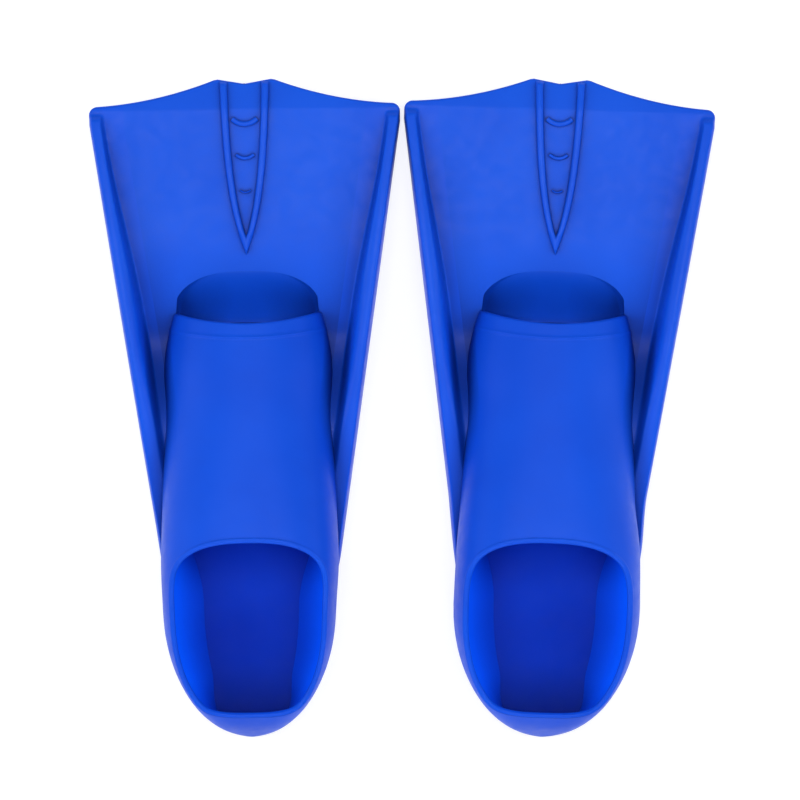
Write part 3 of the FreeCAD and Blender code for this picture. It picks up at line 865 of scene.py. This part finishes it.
@dataclass
class BladeRibs(SubAssembly):
    """The V-shaped rib above and below the web, and the crescents between its arms."""

    start: float = 292.3
    inner_start: float = 304.5
    spread: float = 38.0
    outer_reach: float = 16.3
    inner_reach: float = 11.1
    end: float = 398.2
    height: float = 2.5
    buried: float = 0.7
    crescent_run: float = 373.0
    crescent_pitch: float = 21.0
    crescent_half: float = 7.5
    crescent_shrink: float = 0.29

    def arm(self, run: np.ndarray, reach: float, start: float) -> np.ndarray:
        """One edge of an arm: it leaves the centre fast and runs nearly straight to the tip."""
        return reach * (1 - np.exp(-np.clip(run - start, 0, None) / self.spread))

    def v_rib(self, name: str, node: str, upward: int) -> None:
        """Makes the rib on one face of the web.

        Args:
            name: the piece's name.
            node: the CAD node it replaces.
            upward: +1 on top, -1 underneath.
        """
        form = self.form
        point = self.start + (self.inner_start - self.start) * np.linspace(0, 1, 14) ** 1.6
        runs = np.concatenate([point, np.linspace(self.inner_start, self.end - 2, 62)[1:],
                               self.end - 2 * (1 - np.sin(np.linspace(0, math.pi / 2, 7)[1:]))])[:, None]
        outer = self.arm(runs, self.outer_reach, self.start)
        inner = self.arm(runs, self.inner_reach, self.inner_start)
        share = np.linspace(0, 1, 19)[None, :]
        across = outer + (inner - outer) * share
        bump = np.clip(1 - np.abs(2 * share - 1) ** 2.8, 0, 1) ** 0.7
        crest = np.clip(1 - np.abs(share - 1) ** 2.8, 0, 1) ** 0.7
        merged = smooth((self.inner_start + 2.5 - runs) / 5.0)
        bump = bump * (1 - merged) + crest * merged
        ends = np.minimum(smooth((runs - self.start) / 4.0), np.sqrt(np.clip((self.end - runs) / 2.0, 0, 1)))
        rise = self.height * bump * ends
        level = form.web_middle(runs) + upward * form.web_thick / 2
        plan = np.broadcast_to(runs, across.shape)
        crown = np.stack([-across, plan, level + upward * rise], axis=-1)
        root = np.stack([-across, plan, np.broadcast_to(level - upward * self.buried, across.shape)], axis=-1)
        outside, inside = (crown, root) if upward > 0 else (root, crown)
        skin = Skin(*both_halves(outside, inside))
        rib = skin.piece(f"{self.prefix}{name}_bead", self.place)
        self.dress(rib, "rail", [node], True)

    def crescents(self) -> None:
        """Makes the three crescents, each a tapered arc that bows towards the heel."""
        sizes = {
            "Half Width": self.crescent_half, "First Run": self.crescent_run,
            "Pitch": self.crescent_pitch, "Shrink": self.crescent_shrink,
            "Thickness": 1.8, "Level": self.form.web_mid + self.form.web_thick / 2,
        }
        nodes = NodeTree("tip_crescents", sizes, self.materials["rail"])
        radius = nodes.math("MULTIPLY", nodes.size("Half Width"), 1.42)
        arc = nodes.node("CurveArc", {"mode": "RADIUS"}, Resolution=25, Radius=radius,
                         Start_Angle=math.radians(225), Sweep_Angle=math.radians(90))
        factor = nodes.node("SplineParameter").outputs["Factor"]
        taper = nodes.math("POWER", nodes.math("SINE", nodes.math("MULTIPLY", factor, math.pi)), 0.5)
        shaped = nodes.node("SetCurveRadius", None, Curve=arc.outputs[0],
                            Radius=nodes.math("ADD", taper, 0.04))
        profile = nodes.node("CurvePrimitiveCircle", {"mode": "RADIUS"}, Resolution=12,
                             Radius=nodes.size("Thickness"))
        tube = nodes.node("CurveToMesh", None, Curve=shaped.outputs[0], Profile_Curve=profile.outputs[0],
                          Fill_Caps=True)
        line = nodes.node("MeshLine", {"mode": "OFFSET"}, Count=3)
        index = nodes.node("InputIndex").outputs[0]
        lift = nodes.math("MULTIPLY", radius, 0.93)
        scale = nodes.math("SUBTRACT", 1.0, nodes.math("MULTIPLY", index, nodes.size("Shrink")))
        back = nodes.math("MULTIPLY", index, nodes.size("Pitch"))
        run = nodes.math("SUBTRACT", nodes.size("First Run"), back)
        run = nodes.math("ADD", run, nodes.math("MULTIPLY", lift, scale))
        spot = nodes.node("CombineXYZ", None, X=0.0, Y=run, Z=nodes.size("Level"))
        points = nodes.node("SetPosition", None, Geometry=line.outputs[0], Position=spot.outputs[0])
        flat = nodes.node("CombineXYZ", None, X=scale, Y=scale, Z=0.8)
        copies = nodes.node("InstanceOnPoints", None, Points=points.outputs[0], Instance=tube.outputs[0],
                            Scale=flat.outputs[0])
        nodes.finish(copies.outputs[0])
        seed = bpy.data.meshes.new(self.prefix + "crescent_seed")
        piece = nodes.grow(self.prefix + "crescent_set", seed, self.place)
        shade_round(piece, 50)
        self.dress(piece, "rail", ["tip_crescents"], True)

    def build(self) -> None:
        """Makes the ribs and the crescents."""
        self.v_rib("v_rib", "v_rib", 1)
        self.v_rib("v_rib_underside", "v_rib_underside", -1)
        self.crescents()


@dataclass
class ToeScoop(SubAssembly):
    """The recess ahead of the toes: a ramp from the sole up to the web, with steep sides."""

    rows: int = 34
    columns: int = 61

    def build(self) -> None:
        """Makes the scoop."""
        form = self.form
        turn = np.linspace(0, math.pi / 2, self.rows)[:, None]
        runs = form.scoop_start + (form.scoop_apex - form.scoop_start) * np.sin(turn)
        width = form.scoop_width(runs)
        lead = np.array([[form.scoop_start - 6.0]])
        runs = np.vstack([lead, runs])
        width = np.vstack([[[form.scoop_half - 0.5]], width])
        side = np.sin(np.linspace(-1, 1, self.columns) * math.pi / 2)[None, :]
        across = width * side
        share = np.clip((runs - form.scoop_start) / (form.scoop_apex - form.scoop_start), 0, 1)
        rim = form.web_middle(runs) + form.web_thick / 2
        depth = (rim - form.sole_top) * (1 - smooth(share ** 0.85))
        hollow = 1 - np.clip((np.abs(side) - 0.90) / 0.10, 0, 1) ** 2.2
        top = rim - depth * hollow
        floor = rim - depth
        base = floor - form.web_thick + np.zeros_like(top)
        base = np.maximum(base, form.sole_base)
        plan = np.broadcast_to(runs, across.shape)
        outside = np.stack([across, plan, top], axis=-1)
        inside = np.stack([across, plan, np.minimum(base, top - 0.5)], axis=-1)
        skin = Skin(outside.reshape(-1, 3), inside.reshape(-1, 3), grid_quads(*outside.shape[:2]))
        piece = skin.piece(self.prefix + "toe_scoop_skin", self.place)
        self.dress(piece, "scoop", ["toe_scoop", "scoop_wall"], True)


@dataclass
class FootPocket(SubAssembly):
    """The closed pocket round the foot: vamp, toe band, quarters, heel cup and collar."""

    half_columns: int = 52
    crowding: float = 1.7
    band: float = 11.0
    band_proud: float = 0.3
    hem_ridge: float = 0.5
    cup_run: float = 30.0
    bead: float = 1.9
    lip_round: float = 1.5
    band_end: float = 12.5
    hem_start: float = 14.0
    warp_start: float = 190.0
    dip_half: float = 45.0
    leans_until: float = 120.0

    def rows(self) -> tuple[np.ndarray, np.ndarray]:
        """Nominal runs of the pocket's rows and the mouth's half-width at each."""
        form = self.form
        behind = math.asin((form.heel_centre - form.mouth_back) / form.heel_centre)
        heel = form.heel_centre * (1 - np.sin(np.linspace(math.pi / 2, behind, 22)[:-1]))
        rim, open_half = form.mouth_line(44)
        hem_start, hem_end = form.toe_run - self.hem_start, form.toe_run - self.lip_round
        top = np.linspace(form.mouth_front, hem_start, 44)[1:]
        hem = np.linspace(hem_start, hem_end, 30)[1:]
        lip = form.toe_run - self.lip_round * (1 - np.sin(np.linspace(0, math.pi / 2, 9)))[1:]
        runs = np.concatenate([heel, rim, top, hem, lip])
        mouth = np.concatenate([np.zeros(len(heel)), open_half, np.zeros(len(top) + len(hem) + len(lip))])
        return runs[:, None], mouth[:, None]

    def build(self) -> None:
        """Makes the pocket's zones and the collar."""
        form = self.form
        runs, mouth = self.rows()
        open_share = np.clip(mouth / np.maximum(form.pocket_width(runs), 1e-6), 0, 1)
        limit = np.arccos(open_share ** (form.power(runs) / 2))
        turn = limit * np.linspace(0, 1, self.half_columns)[None, :] ** self.crowding
        behind = form.toe_run - runs
        lip = self.lip_round * (1 - np.sqrt(1 - (1 - np.clip(behind / self.lip_round, 0, 1)) ** 2))
        proud = self.band_proud * smooth((self.band + 1.0 - behind) / 2.0)
        proud = proud + self.hem_ridge * np.exp(-((behind - self.band) / 1.0) ** 2)
        proud = proud * np.sin(turn) ** 0.5
        across = form.arch(runs, turn)[..., 0]
        warp = np.clip((runs - self.warp_start) / (form.toe_run - self.warp_start), 0, 1) ** 2
        true_run = runs + form.toe_dip * (np.minimum((across / self.dip_half) ** 2, 1.0) - 1) * warp
        outside = form.arch(true_run, turn, lip - proud)
        inside = form.arch(true_run, turn, form.wall - lip + 0 * turn)
        for face in (outside, inside):
            face[..., 1] = np.where(true_run > self.leans_until, true_run, face[..., 1])
        flip = np.array([-1, 1, 1])
        # Painted glow share for the inner faces: strongest on the walls above the footbed between heel and
        # instep, standing in for light through the thin silicone.
        level = (inside[..., 2] - form.sole_top) / (form.lean_level - form.sole_top)
        deep = inside[..., 1]
        glow_share = smooth(level / 0.7) * smooth((150.0 - deep) / 50.0) * smooth((deep - 8.0) / 30.0)
        glow_share = np.tile(glow_share.reshape(-1), 2)
        skin = Skin(*both_halves(outside * flip, inside * flip), glow_share)
        rim = (outside[:, -1] + inside[:, -1]) / 2
        rim = rim[(runs[:, 0] >= form.mouth_back) & (runs[:, 0] <= form.mouth_front)]
        row = np.repeat(np.arange(len(runs) - 1), self.half_columns - 1)
        row = np.concatenate([row, row])
        low = runs[row, 0]
        is_left = np.arange(len(skin.quads)) < len(skin.quads) // 2
        zones = {
            "heel_cup": low < self.cup_run,
            "vamp": (low >= form.mouth_front - 0.001) & (low < form.toe_run - self.band_end),
            "toe_band": low >= form.toe_run - self.band_end,
        }
        middle = (low >= self.cup_run) & (low < form.mouth_front - 0.001)
        zones[self.side.edge(-1) + "_quarter"] = middle & is_left
        zones[self.side.edge(1) + "_quarter"] = middle & ~is_left
        for name, mask in zones.items():
            piece = skin.piece(f"{self.prefix}{name}_skin", self.place, mask)
            self.dress(piece, "pocket", [name], False)
        self.collar(np.vstack([rim, (rim * flip)[-2:0:-1]]))

    def collar(self, path: np.ndarray) -> None:
        """Makes the rolled bead round the ankle opening, swept along its edge.

        Args:
            path: the middle of the opening's edge, once round.
        """
        seed = bpy.data.meshes.new(self.prefix + "collar_line")
        count = len(path)
        seed.from_pydata(path.tolist(), [(k, (k + 1) % count) for k in range(count)], [])
        nodes = NodeTree("collar_bead", {"Bead Radius": self.bead}, self.materials["pocket"])
        line = nodes.node("MeshToCurve", None, Mesh=nodes.inlet.outputs["Geometry"])
        profile = nodes.node("CurvePrimitiveCircle", {"mode": "RADIUS"}, Resolution=20,
                             Radius=nodes.size("Bead Radius"))
        tube = nodes.node("CurveToMesh", None, Curve=line.outputs[0], Profile_Curve=profile.outputs[0])
        nodes.finish(tube.outputs[0])
        piece = nodes.grow(self.prefix + "collar_bead", seed, self.place)
        shade_round(piece, 60)
        self.dress(piece, "pocket", ["collar"], False)


@dataclass
class Sole(SubAssembly):
    """The sole plate with its rounded lower edge, and the two studded grip pads under it."""

    pads: dict[str, tuple[float, float, float]] = field(default_factory=lambda: {
        "forefoot_tread": (150.0, 240.0, 38.0), "heel_tread": (32.0, 84.0, 21.0)})
    stud: float = 3.1
    pitch: float = 8.0
    row_share: float = 0.87

    def plate(self) -> None:
        """Makes the plate."""
        form = self.form
        heel = form.heel_centre * (1 - np.sin(np.linspace(math.pi / 2, 0, 40)))
        front = np.linspace(form.heel_centre, form.scoop_start + 1.0, 60)[1:]
        runs = np.concatenate([heel, front])[:, None]
        side = np.sin(np.linspace(-1, 1, 71) * math.pi / 2)[None, :]
        base = form.pocket_width(runs) * form.pull_in(runs, form.sole_top)
        across = base * side
        turn = np.clip((np.abs(side) - 0.90) / 0.10, 0, 1)
        lift = (form.sole_top - form.sole_base) * (1 - np.sqrt(1 - turn ** 2))
        plan = np.broadcast_to(runs, across.shape)
        outside = np.stack([across, plan, np.full(across.shape, form.sole_top)], axis=-1)
        inside = np.stack([across, plan, form.sole_base + lift + 0 * across], axis=-1)
        skin = Skin(outside.reshape(-1, 3), inside.reshape(-1, 3), grid_quads(*outside.shape[:2]))
        piece = skin.piece(self.prefix + "sole_plate", self.place)
        self.dress(piece, "sole", ["sole"], False)

    def tread(self, name: str, start: float, end: float, half: float) -> None:
        """Makes one pad of staggered six-sided studs.

        Args:
            name: the piece's and node's name.
            start: where the pad starts.
            end: where it ends.
            half: its half-width.
        """
        sizes = {"Stud Radius": self.stud, "Stud Height": self.form.sole_base, "Pitch": self.pitch,
                 "Middle Run": (start + end) / 2}
        nodes = NodeTree(name, sizes, self.materials["sole"])
        across_count = int(2 * (half - self.stud) / self.pitch) + 1
        along_count = int((end - start - 2 * self.stud) / (self.pitch * self.row_share)) + 1
        width = (across_count - 1) * self.pitch
        length = (along_count - 1) * self.pitch * self.row_share
        grid = nodes.node("MeshGrid", None, Size_X=width, Size_Y=length, Vertices_X=across_count,
                          Vertices_Y=along_count)
        index = nodes.node("InputIndex").outputs[0]
        odd = nodes.math("MODULO", index, float(along_count))
        odd = nodes.math("MODULO", odd, 2.0)
        half_pitch = nodes.math("MULTIPLY", nodes.size("Pitch"), 0.5)
        shift = nodes.math("MULTIPLY", nodes.math("SUBTRACT", odd, 0.5), half_pitch)
        level = nodes.math("MULTIPLY", nodes.size("Stud Height"), 0.5)
        offset = nodes.node("CombineXYZ", None, X=shift, Y=nodes.size("Middle Run"), Z=level)
        points = nodes.node("SetPosition", None, Geometry=grid.outputs[0], Offset=offset.outputs[0])
        stud = nodes.node("MeshCylinder", None, Vertices=6, Radius=nodes.size("Stud Radius"),
                          Depth=nodes.size("Stud Height"))
        copies = nodes.node("InstanceOnPoints", None, Points=points.outputs[0], Instance=stud.outputs[0])
        nodes.finish(copies.outputs[0])
        piece = nodes.grow(f"{self.prefix}{name}_studs", bpy.data.meshes.new(name + "_seed"), self.place)
        self.dress(piece, "sole", [name], False)

    def build(self) -> None:
        """Makes the plate and its treads."""
        self.plate()
        for name, (start, end, half) in self.pads.items():
            self.tread(name, start, end, half)


def shade_round(thing: bpy.types.Object, degrees: float) -> None:
    """Shades a piece smooth but for its sharp edges."""
    thing.data.polygons.foreach_set("use_smooth", [True] * len(thing.data.polygons))
    thing.data.set_sharp_from_angle(angle=math.radians(degrees))


@dataclass
class Studio:
    """White floor, soft lights and the camera straight above."""

    camera_height: float = 3.0
    view_width: float = 0.4896
    sensor: float = 36.0
    shift_x: float = -0.0012
    shift_y: float = 0.0040
    sky_light: float = 0.165
    haze: tuple[float, float] = (0.04, 0.10)
    floor_half: float = 6.0
    boxes: tuple[tuple, ...] = (
        ("top_box", (0.0, 0.3, 2.2), (1.2, 0.9), 20), ("left_box", (-1.45, 0.1, 1.0), (0.6, 1.3), 10),
        ("right_box", (1.45, 0.1, 1.0), (0.6, 1.3), 9), ("heel_box", (0.0, -1.5, 1.0), (1.2, 0.5), 10))

    def light(self, name: str, place: tuple[float, float, float], size: tuple[float, float],
              power: float) -> None:
        """Adds a soft box aimed at the middle of the fins.

        Args:
            name: the lamp's name.
            place: where it stands.
            size: its width and height.
            power: its power in watts.
        """
        lamp = bpy.data.lights.new(name, "AREA")
        lamp.shape = "RECTANGLE"
        lamp.size, lamp.size_y = size
        lamp.energy = power
        thing = bpy.data.objects.new(name, lamp)
        thing.location = place
        thing.rotation_euler = (Vector((0, 0, 0.02)) - Vector(place)).to_track_quat("-Z", "Y").to_euler()
        bpy.context.scene.collection.objects.link(thing)

    def build(self) -> None:
        """Makes the floor, the lights, the world and the camera."""
        scene = bpy.context.scene
        scene.view_settings.view_transform = "Standard"
        floor_mesh = bpy.data.meshes.new("floor")
        reach = self.floor_half
        corners = [(-reach, -reach, 0), (reach, -reach, 0), (reach, reach, 0), (-reach, reach, 0)]
        floor_mesh.from_pydata(corners, [], [(0, 1, 2, 3)])
        floor = bpy.data.objects.new("floor", floor_mesh)
        scene.collection.objects.link(floor)
        paper = bpy.data.materials.new("white_paper")
        paper.use_nodes = True
        shader = next(n for n in paper.node_tree.nodes if n.type == "BSDF_PRINCIPLED")
        fill(shader, Base_Color=(0.35, 0.35, 0.35, 1), Roughness=0.9, Specular_IOR_Level=0.1,
             Emission_Color=(1, 1, 1, 1), Emission_Strength=0.78)
        floor_mesh.materials.append(paper)
        for box in self.boxes:
            self.light(*box)
        world = bpy.data.worlds.new("studio")
        world.use_nodes = True
        nodes, links = world.node_tree.nodes, world.node_tree.links
        fill(nodes["Background"], Color=(1, 1, 1, 1))
        heading = nodes.new("ShaderNodeSeparateXYZ")
        links.new(nodes.new("ShaderNodeTexCoord").outputs["Generated"], heading.inputs["Vector"])
        sky = fill(nodes.new("ShaderNodeMapRange"), From_Min=self.haze[0], From_Max=self.haze[1],
                   To_Min=1.0, To_Max=self.sky_light)
        links.new(heading.outputs["Z"], sky.inputs["Value"])
        links.new(sky.outputs["Result"], nodes["Background"].inputs["Strength"])
        scene.world = world
        lens = bpy.data.cameras.new("camera")
        lens.sensor_width = self.sensor
        lens.lens = self.sensor * self.camera_height / self.view_width
        lens.clip_end = 20
        camera = bpy.data.objects.new("camera", lens)
        camera.location = (self.shift_x, self.shift_y, self.camera_height)
        scene.collection.objects.link(camera)
        scene.camera = camera


@dataclass
class Fin:
    """One whole fin."""

    side: Side
    settling: tuple[float, float, float]
    form: FinForm = field(default_factory=FinForm)

    def build(self, materials: dict[str, bpy.types.Material]) -> None:
        """Makes all of the fin's pieces in order.

        Args:
            materials: the finishes by name.
        """
        joint = next(j for j in frame["joints"] if j["name"] == self.side.value + "_blade_flex")
        place = FinPlace.from_joint(joint, self.form.hinge_run, self.settling)
        for group in (BladeSkin, BladeRibs, ToeScoop, FootPocket, Sole):
            group(self.side, self.form, place, materials).build()


SETTLING = {Side.LEFT: (-0.04, -0.6, 112.0), Side.RIGHT: (0.035, 1.0, 150.0)}


def main() -> None:
    logging.basicConfig(level=logging.INFO, format="%(name)s: %(message)s")
    materials = {key: finish.build() for key, finish in FINISHES.items()}
    for side in Side:
        Fin(side, SETTLING[side]).build(materials)
    Studio().build()


if __name__ == "__main__":
    main()
